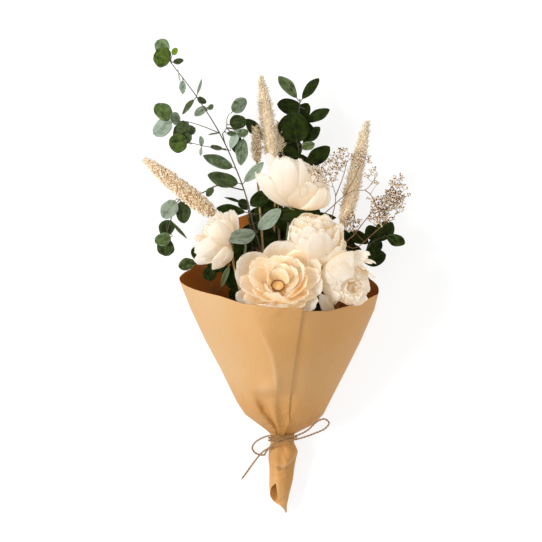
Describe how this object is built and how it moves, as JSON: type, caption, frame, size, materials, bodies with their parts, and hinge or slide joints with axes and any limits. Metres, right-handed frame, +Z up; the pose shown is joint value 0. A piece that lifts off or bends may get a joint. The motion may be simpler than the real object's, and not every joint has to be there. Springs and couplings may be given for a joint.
{
  "type": "wrapped flower bouquet",
  "caption": "Mixed dried bouquet lying on its back: cream roses, grass plumes, seed heads, bud sprays and eucalyptus rolled in brown kraft paper and tied with a jute twine bow",
  "frame": {"origin": "centre of the footprint, on the surface that the bouquet lies on", "axes": "+Y towards the flowers, -Y towards the tied stems, +Z up out of the front of the bouquet, +X to the right as the front is looked at"},
  "size_m": [0.2566, 0.4659, 0.1455],
  "materials": {
    "kraft_paper": "plain uncoated kraft paper, softly creased",
    "jute_twine": "hairy two-ply jute",
    "stems": "dry, matt",
    "cream_petals": "matt, thin and finely veined",
    "flower_hearts": "matt, fibrous",
    "millet_seeds": "dry seeds, matt",
    "plumes": "dry bristles, matt",
    "eucalyptus_leaves": "preserved leaf, dusty satin",
    "dark_leaves": "preserved leaf, satin",
    "dried_buds": "dry buds, cream with brown"
  },
  "bodies": {
    "root": {"kraft_paper_wrap": "kraft_paper", "twine_bow": "jute_twine", "rose_front_stem": "stems", "rose_front_outer_petals": "cream_petals", "rose_front_inner_petals": "cream_petals", "rose_front_heart": "flower_hearts", "rose_right_stem": "stems", "rose_right_outer_petals": "cream_petals", "rose_right_inner_petals": "cream_petals", "rose_right_heart": "flower_hearts", "rose_mid_stem": "stems", "rose_mid_outer_petals": "cream_petals", "rose_mid_inner_petals": "cream_petals", "rose_mid_heart": "flower_hearts", "rose_top_stem": "stems", "rose_top_outer_petals": "cream_petals", "rose_top_inner_petals": "cream_petals", "rose_top_heart": "flower_hearts", "rose_left_stem": "stems", "rose_left_outer_petals": "cream_petals", "rose_left_inner_petals": "cream_petals", "rose_left_heart": "flower_hearts", "millet_left_stem": "stems", "millet_left_head": "millet_seeds", "plume_centre_stem": "stems", "plume_centre_head": "plumes", "plume_short_stem": "stems", "plume_short_head": "plumes", "plume_right_stem": "stems", "plume_right_head": "plumes", "millet_small_stem": "stems", "millet_small_head": "millet_seeds", "eucalyptus_main": "eucalyptus_leaves", "eucalyptus_twig_upper_left": "eucalyptus_leaves", "eucalyptus_twig_lower_left": "eucalyptus_leaves", "eucalyptus_twig_right": "eucalyptus_leaves", "eucalyptus_twig_drooping": "eucalyptus_leaves", "greenery_top": "dark_leaves", "greenery_right": "dark_leaves", "greenery_left": "dark_leaves", "greenery_inner": "dark_leaves", "bud_spray_upper": "dried_buds", "bud_spray_right": "dried_buds"}
  },
  "joints": []
}
